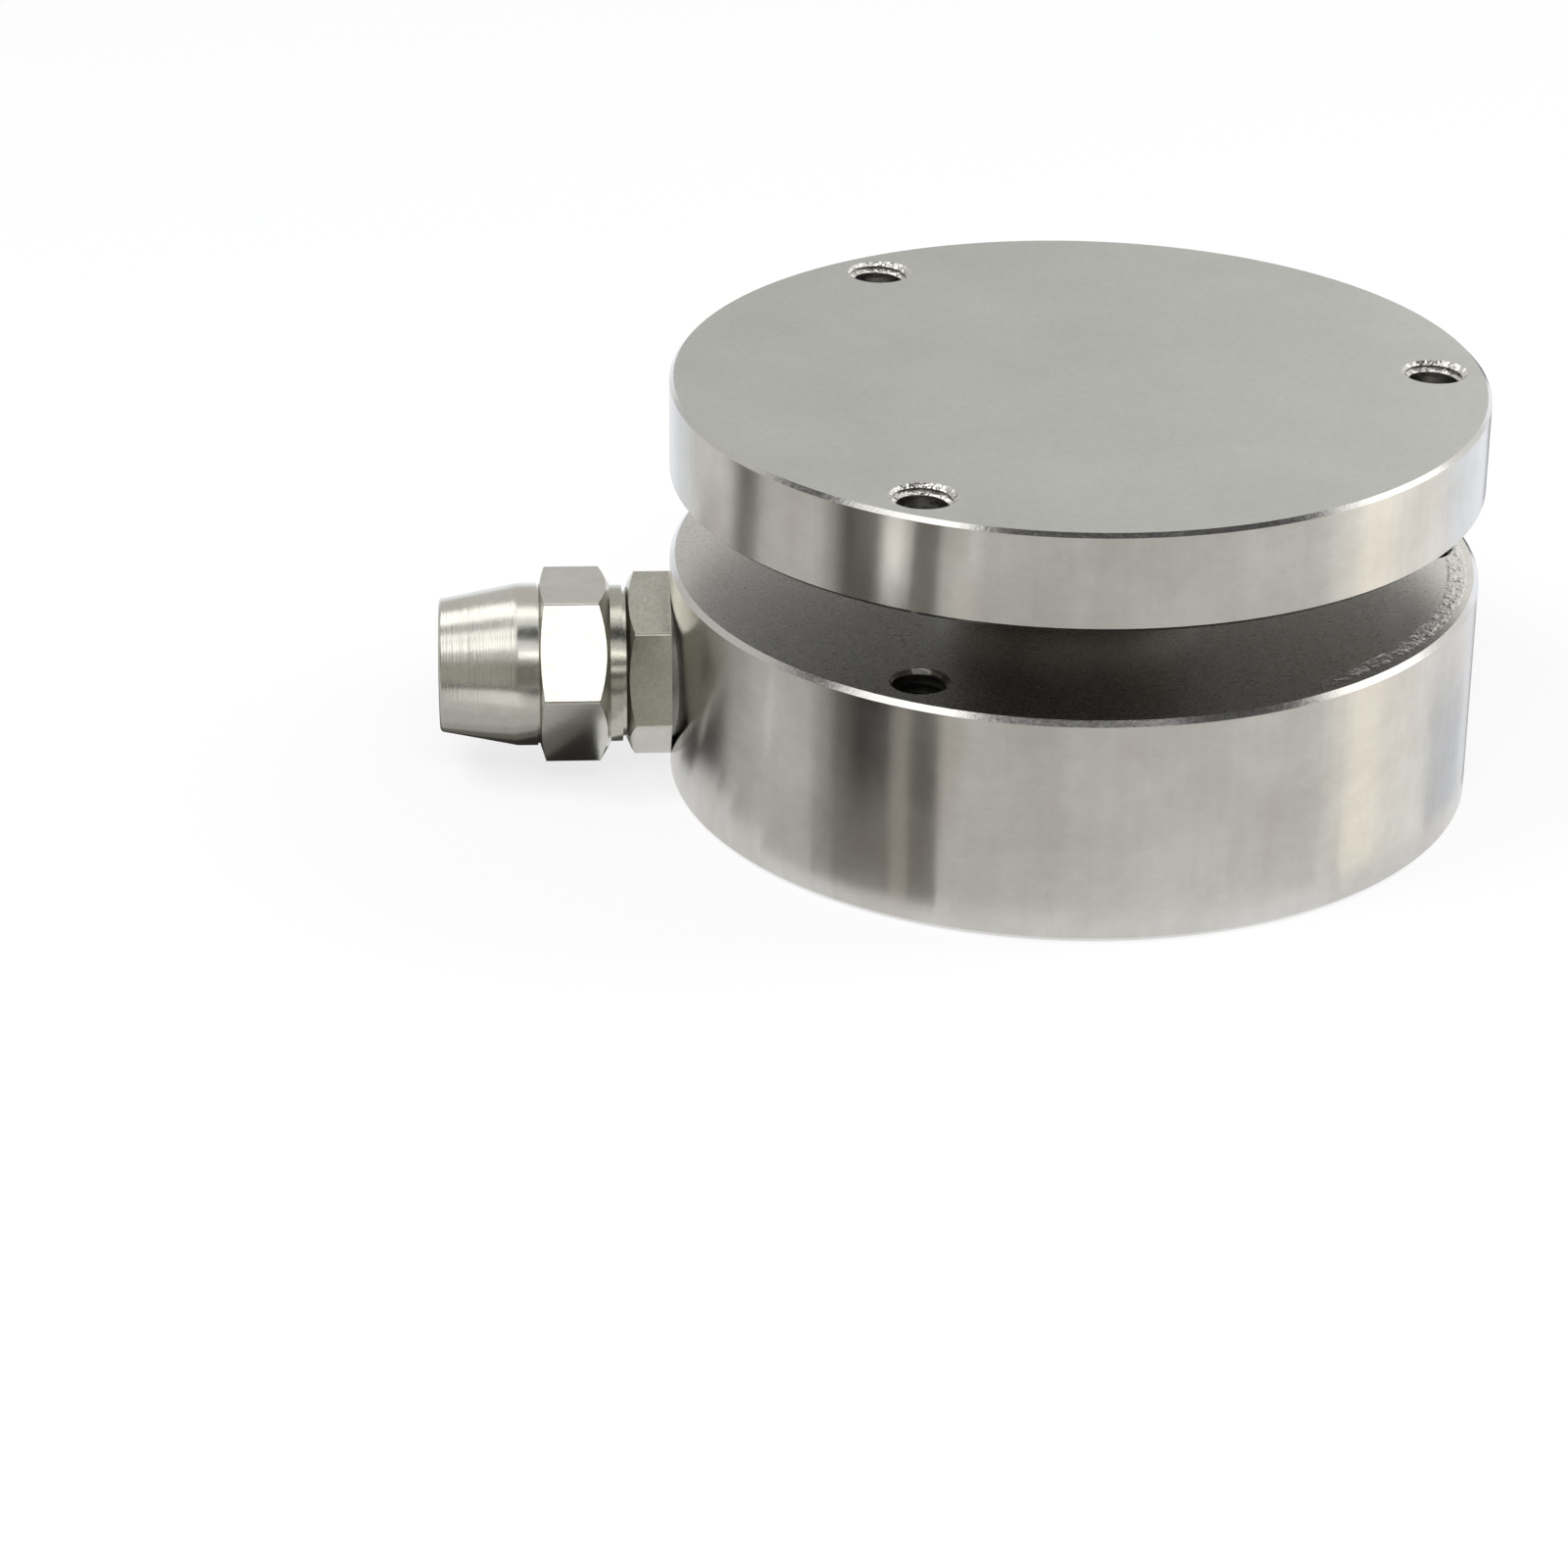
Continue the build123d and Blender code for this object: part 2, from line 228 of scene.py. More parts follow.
# Hexagons: turns of their long edges, and the turns above which an edge stays sharp
hexagon_turns = (math.radians(50), math.radians(70))
round_edge_limit = math.radians(4)
long_edge_limit = math.radians(25)


def node_tree(material):
    """Empty node tree of a material, ready for its nodes."""
    material.use_nodes = True
    material.node_tree.nodes.clear()
    return material.node_tree


def add(tree, kind, **values):
    """One shader node with its properties and plain inputs set."""
    node = tree.nodes.new(kind)
    for key, value in values.items():
        if key in node.inputs:
            node.inputs[key].default_value = value
        else:
            setattr(node, key, value)
    return node


def maths(tree, operation, first, second=None):
    """One math node on sockets or numbers."""
    node = tree.nodes.new("ShaderNodeMath")
    node.operation = operation
    for socket, value in zip(node.inputs, (first, second)):
        if value is None:
            continue
        if isinstance(value, (int, float)):
            socket.default_value = value
        else:
            tree.links.new(value, socket)
    return node.outputs[0]


def mix_colour(tree, factor, first, second, blend="MIX"):
    """Mix two colours, given as sockets or as colour values."""
    node = tree.nodes.new("ShaderNodeMix")
    node.data_type = "RGBA"
    node.blend_type = blend
    factor_socket, a_socket, b_socket = node.inputs[0], node.inputs[6], node.inputs[7]
    for socket, value in zip((factor_socket, a_socket, b_socket), (factor, first, second)):
        if isinstance(value, (int, float)):
            socket.default_value = value
        elif isinstance(value, tuple):
            socket.default_value = (*value, 1.0)
        else:
            tree.links.new(value, socket)
    return node.outputs[2]


def coordinates(tree, scale=(1.0, 1.0, 1.0)):
    """Object coordinates in millimetres, stretched by a scale."""
    source = tree.nodes.new("ShaderNodeTexCoord")
    mapping = tree.nodes.new("ShaderNodeMapping")
    mapping.inputs["Scale"].default_value = tuple(s / MM for s in scale)
    tree.links.new(source.outputs["Object"], mapping.inputs["Vector"])
    return mapping.outputs["Vector"]


def noise(tree, vector, scale, detail=3.0, roughness=0.55):
    """Noise value over a vector."""
    node = add(tree, "ShaderNodeTexNoise", Scale=scale, Detail=detail, Roughness=roughness)
    tree.links.new(vector, node.inputs["Vector"])
    return node.outputs["Fac"]


def bump(tree, height, distance, strength=1.0, under=None):
    """Bump normal from a height value, distance in metres."""
    node = add(tree, "ShaderNodeBump", Strength=strength, Distance=distance)
    tree.links.new(height, node.inputs["Height"])
    if under is not None:
        tree.links.new(under, node.inputs["Normal"])
    return node.outputs["Normal"]


def shader(tree, metallic=1.0, anisotropic=0.0):
    """Principled shader joined to the output."""
    output = tree.nodes.new("ShaderNodeOutputMaterial")
    node = tree.nodes.new("ShaderNodeBsdfPrincipled")
    node.inputs["Metallic"].default_value = metallic
    node.inputs["Anisotropic"].default_value = anisotropic
    tree.links.new(node.outputs["BSDF"], output.inputs["Surface"])
    return node


def place(tree):
    """The x, y and z of the surface in the frame."""
    source = tree.nodes.new("ShaderNodeTexCoord")
    split = tree.nodes.new("ShaderNodeSeparateXYZ")
    tree.links.new(source.outputs["Object"], split.inputs[0])
    return split.outputs


def line_noise(tree, value, scale, detail):
    """Noise along one value, taken in millimetres, for the rings that a tool leaves."""
    node = add(
        tree, "ShaderNodeTexNoise", noise_dimensions="1D", Scale=scale, Detail=detail
    )
    tree.links.new(maths(tree, "DIVIDE", value, MM), node.inputs["W"])
    return node.outputs["Fac"]


def drift(tree, start, value, reach):
    """Number that grows from start by reach as the value goes from 0 to 1."""
    return maths(tree, "ADD", start, maths(tree, "MULTIPLY", value, reach))


def stretch(tree, value, low, high):
    """Value moved from low..high to 0..1, and held there outside."""
    node = add(tree, "ShaderNodeMapRange", **{"From Min": low, "From Max": high})
    tree.links.new(value, node.inputs["Value"])
    return node.outputs["Result"]


def shade(tree, colour, value, depth):
    """Colour that gets darker by depth where the value is low."""
    grey = mix_colour(tree, value, (1.0 - depth,) * 3, (1.0, 1.0, 1.0))
    return mix_colour(tree, 1.0, colour, grey, "MULTIPLY")


def turned_steel():
    """Satin wall of a turned billet, gloss drawn out along the axis."""
    material = bpy.data.materials.new("turned_steel")
    tree = node_tree(material)
    steel = shader(tree, anisotropic=0.9)
    steel.inputs["Anisotropic Rotation"].default_value = 0.25
    cloud = noise(tree, coordinates(tree, (0.07, 0.07, 0.10)), 1.0, 4.0, 0.6)
    stain = noise(tree, coordinates(tree, (0.16, 0.16, 0.05)), 1.0, 3.0, 0.5)
    streak = noise(tree, coordinates(tree, (1.1, 1.1, 0.035)), 1.0, 3.0, 0.6)
    mottle = noise(tree, coordinates(tree), 0.55, 6.0, 0.72)
    fine = noise(tree, coordinates(tree), 5.0, 4.0, 0.7)
    lines = line_noise(tree, place(tree)[2], 5.0, 4.0)

    dark, light = (0.530, 0.512, 0.482), (0.645, 0.636, 0.612)
    colour = mix_colour(tree, stretch(tree, cloud, 0.3, 0.7), dark, light)
    tint = maths(tree, "MULTIPLY", stretch(tree, stain, 0.50, 0.72), 0.40)
    colour = mix_colour(tree, tint, colour, (0.520, 0.470, 0.440))
    colour = shade(tree, colour, stretch(tree, mottle, 0.34, 0.66), 0.055)
    colour = shade(tree, colour, stretch(tree, streak, 0.36, 0.62), 0.02)
    colour = shade(tree, colour, stretch(tree, lines, 0.3, 0.7), 0.025)
    tree.links.new(colour, steel.inputs["Base Color"])

    rough = maths(tree, "ADD", drift(tree, 0.17, cloud, 0.06), maths(tree, "MULTIPLY", fine, 0.05))
    tree.links.new(rough, steel.inputs["Roughness"])

    tangent = tree.nodes.new("ShaderNodeTangent")
    tangent.direction_type = "RADIAL"
    tangent.axis = "Z"
    tree.links.new(tangent.outputs[0], steel.inputs["Tangent"])

    tree.links.new(bump(tree, lines, 0.001 * MM), steel.inputs["Normal"])
    return material


def lapped_steel():
    """Flat face ground to an even satin grey with a fine mottle."""
    material = bpy.data.materials.new("lapped_steel")
    tree = node_tree(material)
    steel = shader(tree)
    fine = noise(tree, coordinates(tree), 1.6, 6.0, 0.78)
    cloud = noise(tree, coordinates(tree, (0.05, 0.05, 0.05)), 1.0, 5.0, 0.65)
    dark, light = (0.545, 0.552, 0.530), (0.595, 0.600, 0.582)
    colour = mix_colour(tree, stretch(tree, cloud, 0.3, 0.7), dark, light)
    colour = shade(tree, colour, stretch(tree, fine, 0.36, 0.64), 0.085)
    tree.links.new(colour, steel.inputs["Base Color"])
    tree.links.new(drift(tree, 0.42, fine, 0.14), steel.inputs["Roughness"])
    tree.links.new(bump(tree, fine, 0.006 * MM), steel.inputs["Normal"])
    return material


def grainy_steel(name, dark, light, depth):
    """Rougher turned steel of the gap, with a grain and tool marks by the right-hand rim."""
    material = bpy.data.materials.new(name)
    tree = node_tree(material)
    steel = shader(tree)
    fine = noise(tree, coordinates(tree), 2.2, 5.0, 0.78)
    cloud = noise(tree, coordinates(tree), 0.15, 4.0, 0.6)
    colour = mix_colour(tree, stretch(tree, fine, 0.32, 0.68), dark, light)
    tree.links.new(shade(tree, colour, cloud, 0.12), steel.inputs["Base Color"])
    tree.links.new(drift(tree, 0.18, fine, 0.22), steel.inputs["Roughness"])
    x, y, z = place(tree)
    squares = maths(tree, "ADD", maths(tree, "POWER", x, 2.0), maths(tree, "POWER", y, 2.0))
    radius = maths(tree, "SQRT", squares)
    rings = line_noise(tree, maths(tree, "ADD", radius, z), 2.6, 2.0)
    broken = noise(tree, coordinates(tree), 0.7, 3.0, 0.6)
    marks = maths(tree, "MULTIPLY", rings, stretch(tree, broken, 0.44, 0.60))
    inner, outer = (stretch(tree, radius, edge, edge + marks_fade) for edge in marks_radii)
    band = maths(tree, "SUBTRACT", inner, outer)
    zone = maths(tree, "MULTIPLY", band, stretch(tree, x, *marks_side))
    turning = bump(tree, maths(tree, "MULTIPLY", marks, zone), depth)
    tree.links.new(bump(tree, fine, 0.008 * MM, under=turning), steel.inputs["Normal"])
    return material


def bright_steel():
    """Freshly cut edges, bores and threads."""
    material = bpy.data.materials.new("bright_steel")
    tree = node_tree(material)
    steel = shader(tree)
    fine = noise(tree, coordinates(tree), 2.5, 4.0, 0.6)
    grey = mix_colour(tree, fine, (0.60, 0.59, 0.57), (0.74, 0.735, 0.715))
    tree.links.new(grey, steel.inputs["Base Color"])
    tree.links.new(drift(tree, 0.10, fine, 0.16), steel.inputs["Roughness"])
    tree.links.new(bump(tree, fine, 0.010 * MM), steel.inputs["Normal"])
    return material


def chattered_steel():
    """Countersinks, cut with a chattering tool."""
    material = bpy.data.materials.new("chattered_steel")
    tree = node_tree(material)
    steel = shader(tree)
    chatter = noise(tree, coordinates(tree, (1.0, 1.0, 0.3)), 1.3, 2.0, 0.5)
    fine = noise(tree, coordinates(tree), 3.0, 3.0, 0.6)
    dark, light = (0.66, 0.64, 0.60), (0.90, 0.89, 0.87)
    colour = mix_colour(tree, stretch(tree, chatter, 0.35, 0.65), dark, light)
    tree.links.new(colour, steel.inputs["Base Color"])
    tree.links.new(drift(tree, 0.12, fine, 0.14), steel.inputs["Roughness"])
    ridges = bump(tree, chatter, 0.35 * MM)
    tree.links.new(bump(tree, fine, 0.010 * MM, under=ridges), steel.inputs["Normal"])
    return material


def plated_brass(name, dark, light, grain_depth):
    """Nickel plated brass of the gland, its nose with turning ridges."""
    material = bpy.data.materials.new(name)
    tree = node_tree(material)
    plate = shader(tree)
    x = place(tree)[0]
    cloud = noise(tree, coordinates(tree, (0.25, 0.25, 0.25)), 1.0, 4.0, 0.6)
    fine = noise(tree, coordinates(tree), 2.6, 5.0, 0.75)
    colour = mix_colour(tree, stretch(tree, cloud, 0.3, 0.7), dark, light)
    colour = shade(tree, colour, stretch(tree, fine, 0.34, 0.66), grain_depth)
    tree.links.new(colour, plate.inputs["Base Color"])
    tree.links.new(drift(tree, 0.13, fine, 0.16), plate.inputs["Roughness"])
    ridges = line_noise(tree, x, 4.5, 2.0)
    reach = maths(tree, "MULTIPLY", x, -1.0)
    nose = stretch(tree, reach, nose_start, nose_start + 0.3 * MM)
    turning = bump(tree, maths(tree, "MULTIPLY", stretch(tree, ridges, 0.3, 0.7), nose), 0.011 * MM)
    tree.links.new(bump(tree, fine, 0.006 * MM, under=turning), plate.inputs["Normal"])
    return material


def plain_metal(name, dark, light, roughness):
    """Metal with slight changes of tone."""
    material = bpy.data.materials.new(name)
    tree = node_tree(material)
    metal = shader(tree)
    cloud = noise(tree, coordinates(tree), 1.5, 4.0, 0.6)
    tree.links.new(mix_colour(tree, cloud, dark, light), metal.inputs["Base Color"])
    tree.links.new(drift(tree, roughness, cloud, 0.12), metal.inputs["Roughness"])
    tree.links.new(bump(tree, cloud, 0.003 * MM), metal.inputs["Normal"])
    return material


def dull(name, dark, light, roughness):
    """Rubber, laminate or ceramic with a fine grain."""
    material = bpy.data.materials.new(name)
    tree = node_tree(material)
    base = shader(tree, metallic=0.0)
    grain = noise(tree, coordinates(tree), 4.0, 4.0, 0.6)
    tree.links.new(mix_colour(tree, grain, dark, light), base.inputs["Base Color"])
    tree.links.new(drift(tree, roughness, grain, 0.1), base.inputs["Roughness"])
    tree.links.new(bump(tree, grain, 0.010 * MM), base.inputs["Normal"])
    return material


def finish_of_face(centre, normal):
    """Slot of the billet's finish for one face, from where it lies."""
    radius = math.hypot(centre.x, centre.y)
    level = abs(normal.z)
    if level > 0.9 and not size_slack < centre.z < total_height - size_slack:
        return LAPPED
    if radius > flange_radius - size_slack and level < 0.3:
        return WALL
    if radius > flange_radius - rim_chamfer and level < 0.9:
        return BRIGHT
    if level > 0.99 and centre.z < base_height + size_slack:
        return GAP_FLOOR
    # The gap's roof and the neck take the darkened steel that paints the shade of the recess.
    if level > 0.99 or radius < neck_reach:
        return SHADED_GAP_ROOF
    if 0.3 < level < 0.9 and centre.z > total_height - MM:
        return COUNTERSINK
    # Bolt holes below the gap take the near-black steel that paints the shade inside them.
    if centre.z < base_height - 0.3 * MM and any(
        math.hypot(centre.x - hole.x, centre.y - hole.y) < bolt_hole_radius + MM
        for hole in bolt_centres()
    ):
        return SHADED_BORE
    return BRIGHT


def dress_billet(piece, finishes):
    """Give each face of the billet its finish."""
    mesh = piece.data
    mesh.materials.clear()
    for finish in finishes:
        mesh.materials.append(finish)
    for face in mesh.polygons:
        face.material_index = finish_of_face(face.center, face.normal)


def dress(node, material):
    """Give a CAD node one material all over."""
    node.data.materials.clear()
    node.data.materials.append(material)


def thread_groove(bm, centre, start, end):
    """Closed helical groove cutter of trapezoid section about a vertical axis."""
    inner = bolt_hole_radius - thread_overlap
    outer = bolt_hole_radius + thread_depth
    inner_half = thread_pitch * thread_mouth / 2
    outer_half = thread_pitch * thread_crest / 2
    turns = (end - start) / thread_pitch
    count = int(turns * thread_steps)
    rings = []
    for step in range(count + 1):
        angle = 2 * math.pi * step / thread_steps
        middle = start + thread_pitch * step / thread_steps
        section = (
            (inner, middle - inner_half),
            (outer, middle - outer_half),
            (outer, middle + outer_half),
            (inner, middle + inner_half),
        )
        rings.append(
            [
                bm.verts.new(
                    (
                        centre.x + radius * math.cos(angle),
                        centre.y + radius * math.sin(angle),
                        level,
                    )
                )
                for radius, level in section
            ]
        )
    for first, second in zip(rings, rings[1:]):
        for k in range(4):
            m = (k + 1) % 4
            bm.faces.new((first[k], second[k], second[m], first[m]))
    bm.faces.new(rings[0])
    bm.faces.new(rings[-1][::-1])


def bolt_centres():
    """Axes of the bolt holes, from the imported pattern."""
    for k in range(bolt_count):
        angle = 2 * math.pi * k / bolt_count
        yield Vector(
            (bolt_circle_radius * math.cos(angle), bolt_circle_radius * math.sin(angle), 0)
        )


def threaded_body():
    """The turned billet with real threads cut into its bolt holes."""
    source = frame["nodes"]["sensing_body"]
    mesh = source.data.copy()
    bm = bmesh.new()
    bm.from_mesh(mesh)
    bmesh.ops.remove_doubles(bm, verts=bm.verts, dist=1e-7)
    bm.to_mesh(mesh)
    bm.free()
    if mesh.has_custom_normals:
        mesh.attributes.remove(mesh.attributes["custom_normal"])
    piece = bpy.data.objects.new("turned_body", mesh)
    bpy.context.scene.collection.objects.link(piece)

    grooves = bpy.data.meshes.new("grooves")
    bm = bmesh.new()
    reach = thread_pitch * 1.3
    for centre in bolt_centres():
        thread_groove(bm, centre, -reach, total_height + reach)
    bmesh.ops.recalc_face_normals(bm, faces=bm.faces)
    bm.to_mesh(grooves)
    bm.free()
    cutter = bpy.data.objects.new("cutter", grooves)
    bpy.context.scene.collection.objects.link(cutter)

    cut = piece.modifiers.new("threads", "BOOLEAN")
    cut.operation = "DIFFERENCE"
    cut.solver = "EXACT"
    cut.object = cutter
    graph = bpy.context.evaluated_depsgraph_get()
    result = bpy.data.meshes.new_from_object(piece.evaluated_get(graph))
    piece.modifiers.clear()
    piece.data = result
    bpy.data.objects.remove(cutter)
    result.shade_smooth()
    result.set_sharp_from_angle(angle=thread_smoothing)
    return piece


def worn_copy(node_name, piece_name, material):
    """Copy of a hexagon fitting whose long edges are worn round, in its node's place."""
    bm = bmesh.new()
    bm.from_mesh(frame["nodes"][node_name].data)
    bmesh.ops.remove_doubles(bm, verts=bm.verts, dist=1e-7)
    bmesh.ops.dissolve_limit(
        bm, angle_limit=math.radians(0.5), verts=bm.verts[:], edges=bm.edges[:]
    )
    edges = []
    for edge in bm.edges:
        if len(edge.link_faces) != 2:
            continue
        along = (edge.verts[1].co - edge.verts[0].co).normalized()
        turn = edge.calc_face_angle_signed()
        if abs(along.x) > 0.999 and hexagon_turns[0] < turn < hexagon_turns[1]:
            edges.append(edge)
    flats = {face for edge in edges for face in edge.link_faces}
    planes = [(face.normal.copy(), face.normal.dot(face.verts[0].co)) for face in flats]
    worn = bmesh.ops.bevel(
        bm,
        geom=edges,
        offset=worn_width,
        segments=3,
        profile=0.5,
        affect="EDGES",
        offset_type="WIDTH",
        clamp_overlap=False,
    )
    rounded = set(worn["faces"])
    for face in bm.faces:
        face.smooth = face in rounded or not any(
            face.normal.dot(normal) > 0.99999
            and all(abs(vert.co.dot(normal) - level) < 1e-6 for vert in face.verts)
            for normal, level in planes
        )
    for edge in bm.edges:
        along = (edge.verts[1].co - edge.verts[0].co).normalized()
        limit = round_edge_limit if abs(along.x) < 0.05 else long_edge_limit
        edge.smooth = len(edge.link_faces) == 2 and edge.calc_face_angle() < limit
    bmesh.ops.triangulate(bm, faces=bm.faces[:])
    mesh = bpy.data.meshes.new(piece_name)
    bm.to_mesh(mesh)
    bm.free()
    mesh.materials.append(material)
    piece = bpy.data.objects.new(piece_name, mesh)
    bpy.context.scene.collection.objects.link(piece)
    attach(piece, "root")
    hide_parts(node_name)


def make_camera():
    """Camera at the place and angle of the photograph."""
    data = bpy.data.cameras.new("camera")
    data.sensor_width = sensor_width
    data.lens = camera_lens
    data.clip_start = 0.01
    data.clip_end = 20.0
    camera = bpy.data.objects.new("camera", data)
    camera.location = camera_place
    aim = Euler((math.pi / 2 - camera_dip, 0, -camera_heading)).to_matrix()
    camera.rotation_euler = (aim @ Matrix.Rotation(camera_roll, 3, "Z")).to_euler()
    bpy.context.scene.collection.objects.link(camera)
    bpy.context.scene.camera = camera


def seen_ray(tree):
    """One for rays that see the background directly, in gloss or through glass."""
    path = tree.nodes.new("ShaderNodeLightPath")
    seen = maths(tree, "MAXIMUM", path.outputs["Is Camera Ray"], path.outputs["Is Glossy Ray"])
    return maths(tree, "MAXIMUM", seen, path.outputs["Is Transmission Ray"])


def make_floor():
    """Pale floor that looks white where it is lit, and keeps the soft shadow."""
    bpy.ops.mesh.primitive_plane_add(size=floor_size, location=(0, 0, -floor_drop))
    floor = bpy.context.object
    floor.name = "floor"
    material = bpy.data.materials.new("floor_white")
    tree = node_tree(material)
    output = tree.nodes.new("ShaderNodeOutputMaterial")
    matt = add(tree, "ShaderNodeBsdfDiffuse", Color=(*floor_colour, 1.0))
    glow = add(tree, "ShaderNodeEmission", Color=(1.0, 1.0, 1.0, 1.0), Strength=1.0)
    blend = tree.nodes.new("ShaderNodeMixShader")
    share = maths(tree, "MULTIPLY", seen_ray(tree), floor_white_share)
    tree.links.new(share, blend.inputs[0])
    tree.links.new(matt.outputs[0], blend.inputs[1])
    tree.links.new(glow.outputs[0], blend.inputs[2])
    tree.links.new(blend.outputs[0], output.inputs["Surface"])
    dress(floor, material)


def make_world():
    """Even pale surroundings, white where they are seen."""
    world = bpy.data.worlds.new("studio")
    bpy.context.scene.world = world
    world.use_nodes = True
    tree = world.node_tree
    tree.nodes.clear()
    output = tree.nodes.new("ShaderNodeOutputWorld")
    light = add(tree, "ShaderNodeBackground", Color=(0.80, 0.82, 0.85, 1.0), Strength=0.55)
    white = add(tree, "ShaderNodeBackground", Color=(1.0, 1.0, 1.0, 1.0), Strength=1.0)
    blend = tree.nodes.new("ShaderNodeMixShader")
    tree.links.new(seen_ray(tree), blend.inputs[0])
    tree.links.new(light.outputs[0], blend.inputs[1])
    tree.links.new(white.outputs[0], blend.inputs[2])
    tree.links.new(blend.outputs[0], output.inputs["Surface"])


def direction(azimuth, elevation):
    """Unit vector, azimuth in degrees to the right of the camera's side."""
    turn = camera_side + math.radians(azimuth)
    lift = math.radians(elevation)
    return Vector(
        (math.cos(turn) * math.cos(lift), math.sin(turn) * math.cos(lift), math.sin(lift))
    )


def make_lights():
    """Soft lamps that look at the middle of the cell and aren't mirrored themselves."""
    for name, azimuth, elevation, width, height, power in lamps:
        data = bpy.data.lights.new(name, "AREA")
        data.shape = "RECTANGLE"
        data.size = width
        data.size_y = height
        data.energy = power
        lamp = bpy.data.objects.new(name, data)
        away = direction(azimuth, elevation)
        lamp.location = Vector((0, 0, total_height / 2)) + away * lamp_distance
        lamp.rotation_euler = (-away).to_track_quat("-Z", "Y").to_euler()
        lamp.visible_glossy = False
        bpy.context.scene.collection.objects.link(lamp)


def board(name, rows, tone, tint):
    """Board of an even tone that only gloss sees, from rows of points."""
    mesh = bpy.data.meshes.new(name)
    bm = bmesh.new()
    rows = [[bm.verts.new(point) for point in row] for row in rows]
    for first, second in zip(rows, rows[1:]):
        for k in range(len(first) - 1):
            bm.faces.new((first[k], first[k + 1], second[k + 1], second[k]))
    bm.to_mesh(mesh)
    bm.free()
    piece = bpy.data.objects.new(name, mesh)
    bpy.context.scene.collection.objects.link(piece)
    material = bpy.data.materials.new(name)
    tree = node_tree(material)
    output = tree.nodes.new("ShaderNodeOutputMaterial")
    glow = add(tree, "ShaderNodeEmission", Color=(*tint, 1.0), Strength=tone)
    tree.links.new(glow.outputs[0], output.inputs["Surface"])
    mesh.materials.append(material)
    piece.visible_camera = False
    piece.visible_diffuse = False
    piece.visible_shadow = False
    piece.visible_transmission = False
    piece.visible_volume_scatter = False


def between(first, last, steps):
    """Evenly spaced values from first to last."""
    return [first + (last - first) * k / steps for k in range(steps + 1)]


def mirrored(angle, reach, height):
    """Point that the wall at an angle mirrors to the camera, this far from the wall."""
    normal = direction(angle, 0)
    foot = normal * flange_radius
    view = foot - camera_place
    view.z = 0
    away = view.reflect(normal).normalized()
    return foot + away * reach + Vector((0, 0, height))


def mirrored_rows(left, right, path):
    """Rows of points over wall angles, one row for each reach and height of a path."""
    angles = between(left, right, screen_steps)
    return [[mirrored(angle, reach, height) for angle in angles] for reach, height in path]


def upright_rows(left, right, low, high, distance):
    """Rows of points of a card that stands before the gland, across the camera's view."""
    return [[Vector((x, -distance, z)) for x in (left, right)] for z in (low, high)]


def make_reflectors():
    """Boards and screens that give the bright metal something to mirror."""
    for k, (left, right, low, high, tone, tint) in enumerate(dome_boards):
        rows = [
            [direction(a, e) * dome_radius for a in between(left, right, dome_steps)]
            for e in between(low, high, screen_steps)
        ]
        board(f"dome_board_{k + 1}", rows, tone, tint)
    for k, (left, right, start, stop, tone, tint) in enumerate(near_screens):
        path = ((start, 2 * screen_lift), (stop, 2 * screen_lift))
        board(f"near_screen_{k + 1}", mirrored_rows(left, right, path), tone, tint)
    for k, (left, right, rise, tone, tint) in enumerate(far_screens):
        path = (
            (near_reach, screen_lift),
            (screen_distance, screen_lift),
            (screen_distance, rise),
        )
        board(f"far_screen_{k + 1}", mirrored_rows(left, right, path), tone, tint)
    for k, (left, right, low, high, tone, tint) in enumerate(plate_cards):
        path = ((plate_card_reach, low), (plate_card_reach, high))
        board(f"plate_card_{k + 1}", mirrored_rows(left, right, path), tone, tint)
    for k, (left, right, low, high, tone) in enumerate(gland_cards):
        rows = upright_rows(left, right, low, high, gland_card_distance)
        board(f"gland_card_{k + 1}", rows, tone, olive)
    left, right, low, high, tone = nose_card
    rows = upright_rows(left, right, low, high, nose_card_distance)
    board("nose_card", rows, tone, neutral)


make_camera()
make_floor()
make_world()
make_lights()
make_reflectors()

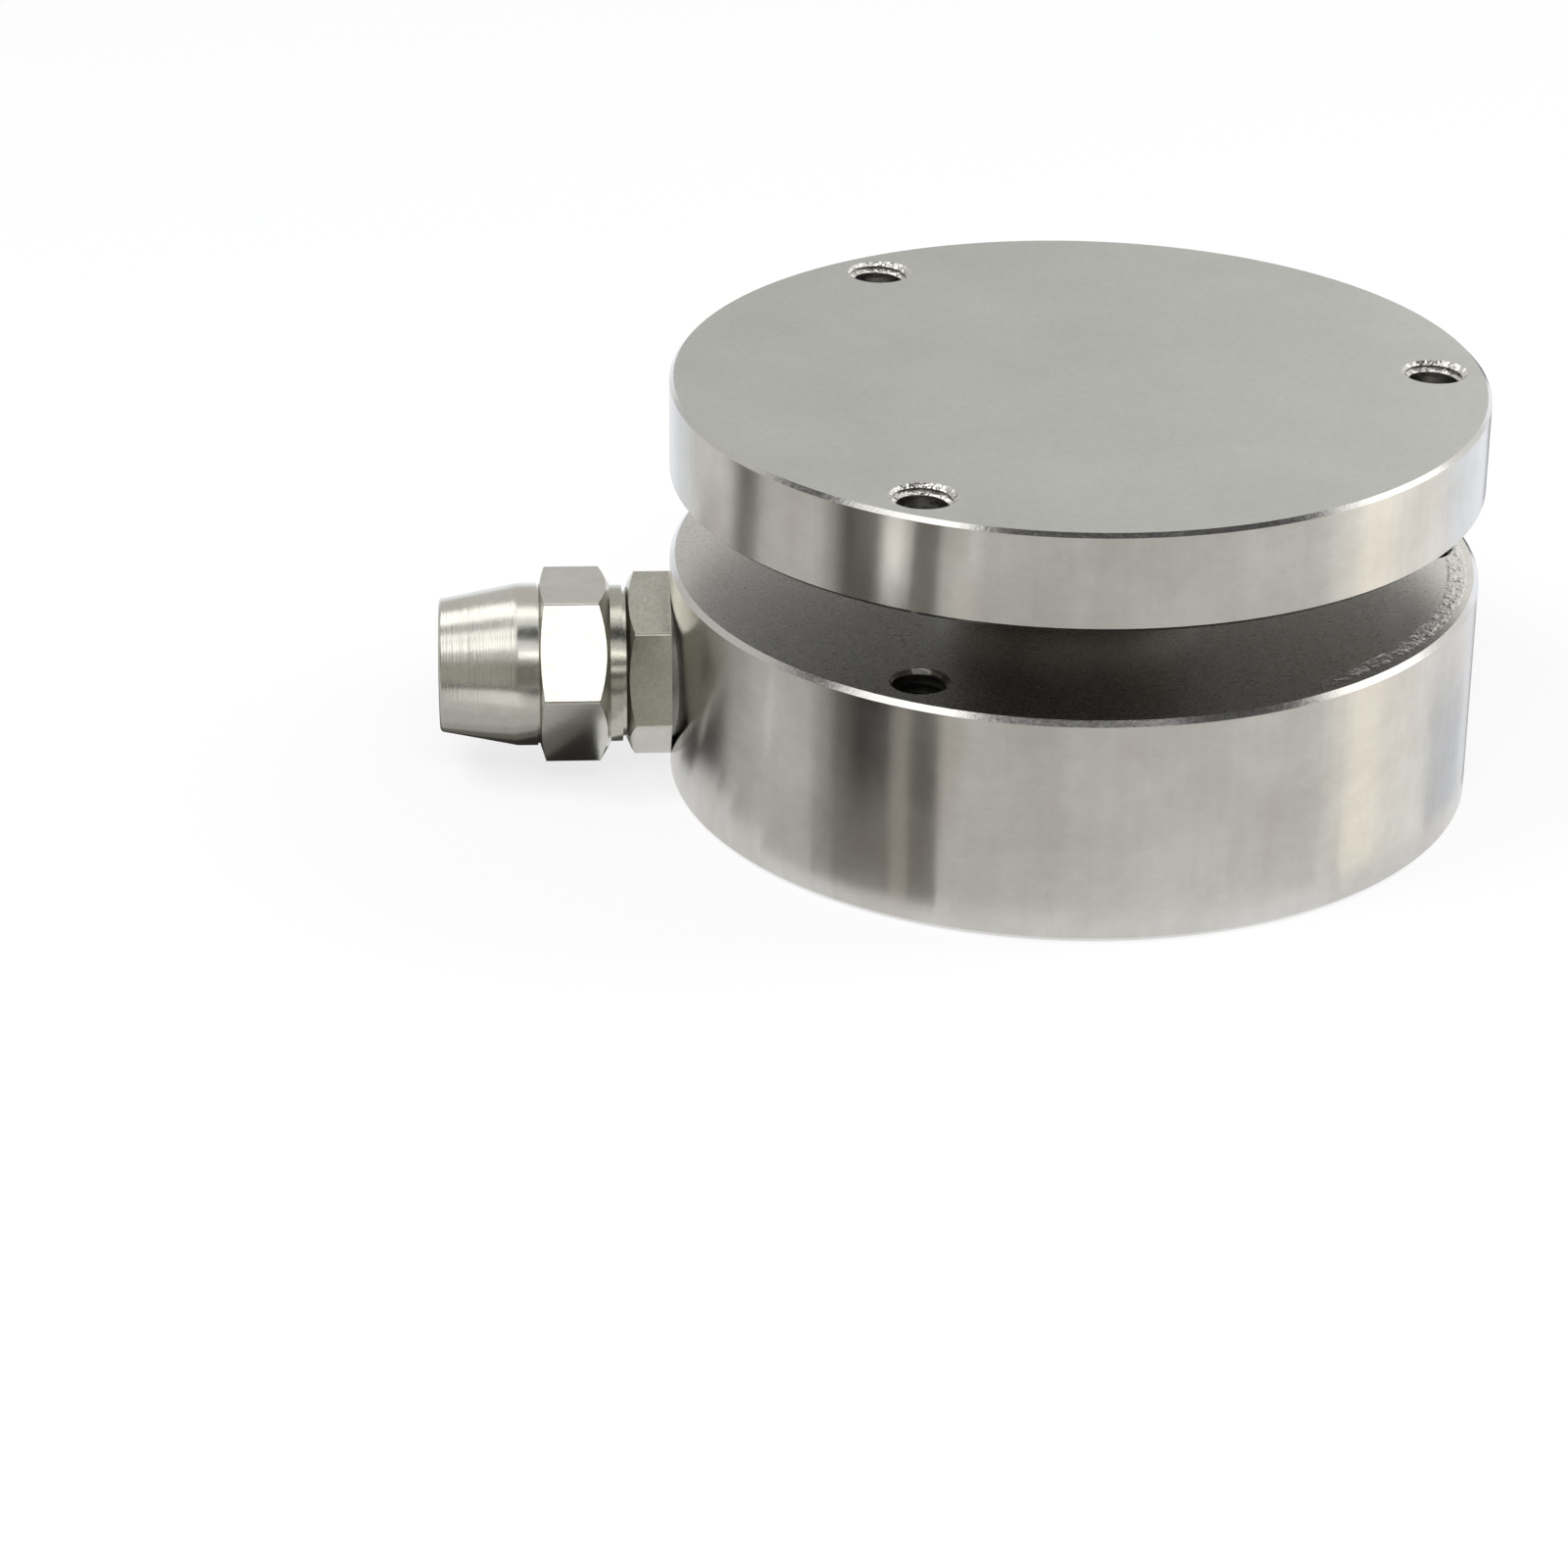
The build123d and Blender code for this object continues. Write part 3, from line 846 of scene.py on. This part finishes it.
steel = turned_steel()
billet_finishes = (
    steel,
    lapped_steel(),
    grainy_steel("gap_floor_steel", (0.58, 0.57, 0.54), (0.80, 0.79, 0.76), marks_depth),
    bright_steel(),
    # Plate underside in the gap: the same steel darkened, painted shade of the recess under the
    # plate.
    grainy_steel("gap_roof_painted_shade", (0.18, 0.17, 0.155), (0.28, 0.27, 0.245), 0.0),
    chattered_steel(),
    # Near-black steel inside the bolt holes: painted shade of the bores.
    plain_metal("bore_painted_shade", (0.10, 0.095, 0.09), (0.20, 0.195, 0.185), 0.30),
)
plating = plated_brass("hexagon_plating", (0.47, 0.465, 0.405), (0.54, 0.535, 0.475), 0.16)
bright_plating = plated_brass("nut_plating", (0.58, 0.575, 0.525), (0.66, 0.655, 0.61), 0.05)
screw_steel = plain_metal("screw_steel", (0.42, 0.42, 0.42), (0.60, 0.60, 0.59), 0.25)
washer_metal = plain_metal("washer_metal", (0.22, 0.215, 0.20), (0.32, 0.315, 0.30), 0.35)
copper = plain_metal("tinned_copper", (0.62, 0.42, 0.28), (0.80, 0.58, 0.42), 0.30)
rubber = dull("rubber", (0.012, 0.012, 0.012), (0.03, 0.03, 0.03), 0.65)
foil = dull("gauge_film", (0.50, 0.28, 0.06), (0.68, 0.42, 0.12), 0.25)
laminate = dull("board_laminate", (0.01, 0.10, 0.03), (0.02, 0.16, 0.05), 0.35)
ceramic = dull("chip_ceramic", (0.01, 0.01, 0.012), (0.03, 0.03, 0.035), 0.45)

finishes = {
    "sensing_body": steel,
    "bottom_cover": steel,
    "cover_screw": screw_steel,
    "board_screw": screw_steel,
    "cover_gasket": rubber,
    "gland_bush": rubber,
    "gland_body": plating,
    "gland_nut": bright_plating,
    "gland_clamp_ring": bright_plating,
    "gland_washer": washer_metal,
    "strain_gauge": foil,
    "terminal_tab": copper,
    "gauge_leads": copper,
    "bridge_board": laminate,
    "trim_resistor": ceramic,
}
for name, node in frame["nodes"].items():
    family = name.rstrip("0123456789").rstrip("_")
    dress(node, finishes[family])

turned_body = threaded_body()
dress_billet(turned_body, billet_finishes)
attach(turned_body, "root")
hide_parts("sensing_body")

worn_copy("gland_body", "worn_hexagon", plating)
worn_copy("gland_nut", "worn_nut", bright_plating)

bpy.context.scene.view_settings.view_transform = "Standard"
